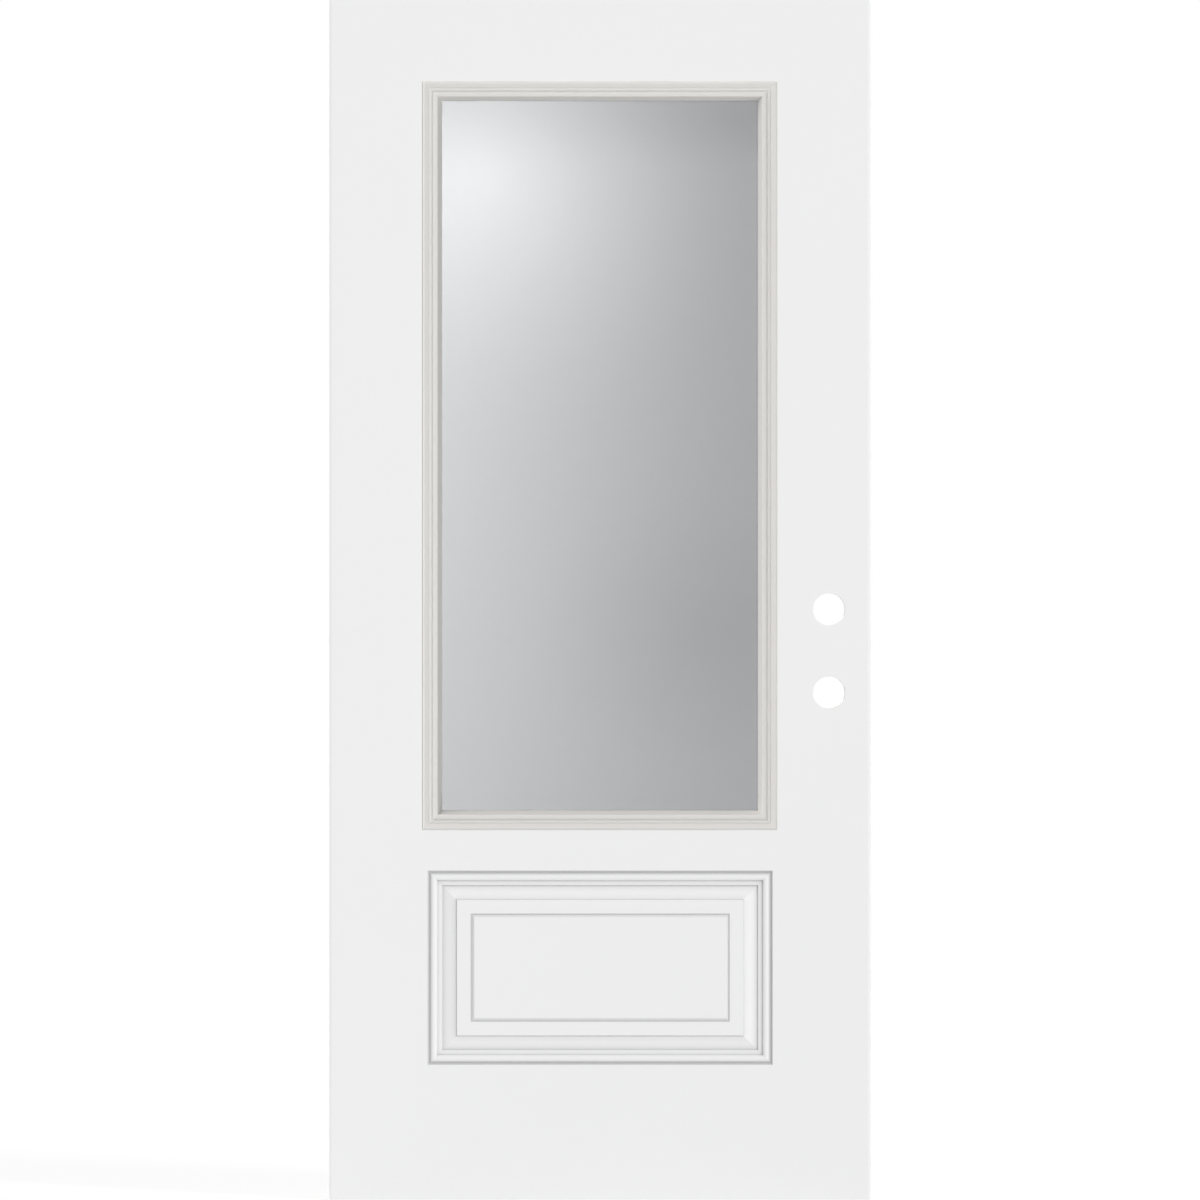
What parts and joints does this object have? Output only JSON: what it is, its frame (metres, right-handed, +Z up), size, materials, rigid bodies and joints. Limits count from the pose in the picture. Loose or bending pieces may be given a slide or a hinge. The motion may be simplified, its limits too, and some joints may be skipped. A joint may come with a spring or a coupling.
{
  "type": "fiberglass entrance door leaf",
  "caption": "White fiberglass entrance door leaf with a tall glazed upper part in a moulded frame, a raised panel below and lock bores, ready to hang.",
  "frame": {"origin": "on the flat hinge edge, at the bottom of the leaf and the middle of its thickness", "axes": "+Z up, +X from the hinge edge to the lock edge, -Y out of the outdoor face"},
  "size_m": [0.908, 0.06, 2.013],
  "materials": {
    "door_skin": "smooth white moulded fiberglass, satin",
    "stile_wood": "sealed laminated wood",
    "composite_rail": "grey brown composite",
    "core_foam": "rigid polyurethane foam",
    "lite_frame": "warm light grey moulded frame, satin",
    "glass": "clear float glass",
    "spacer_bar": "mill finish spacer",
    "unit_sealant": "black sealant",
    "glazing_tape": "closed cell foam tape",
    "screw_plug": "moulded cap, satin",
    "setting_rubber": "black rubber"
  },
  "bodies": {
    "root": {"exterior_skin": "door_skin", "interior_skin": "door_skin", "hinge_stile": "stile_wood", "lock_stile": "stile_wood", "lock_block": "stile_wood", "top_rail": "composite_rail", "bottom_rail": "composite_rail", "foam_core": "core_foam", "exterior_lite_frame": "lite_frame", "interior_lite_frame": "lite_frame", "exterior_pane": "glass", "interior_pane": "glass", "pane_spacer": "spacer_bar", "pane_edge_seal": "unit_sealant", "exterior_glazing_tape": "glazing_tape", "interior_glazing_tape": "glazing_tape", "exterior_frame_seal": "glazing_tape", "interior_frame_seal": "glazing_tape", "screw_plugs": "screw_plug", "setting_blocks": "setting_rubber"}
  },
  "joints": []
}
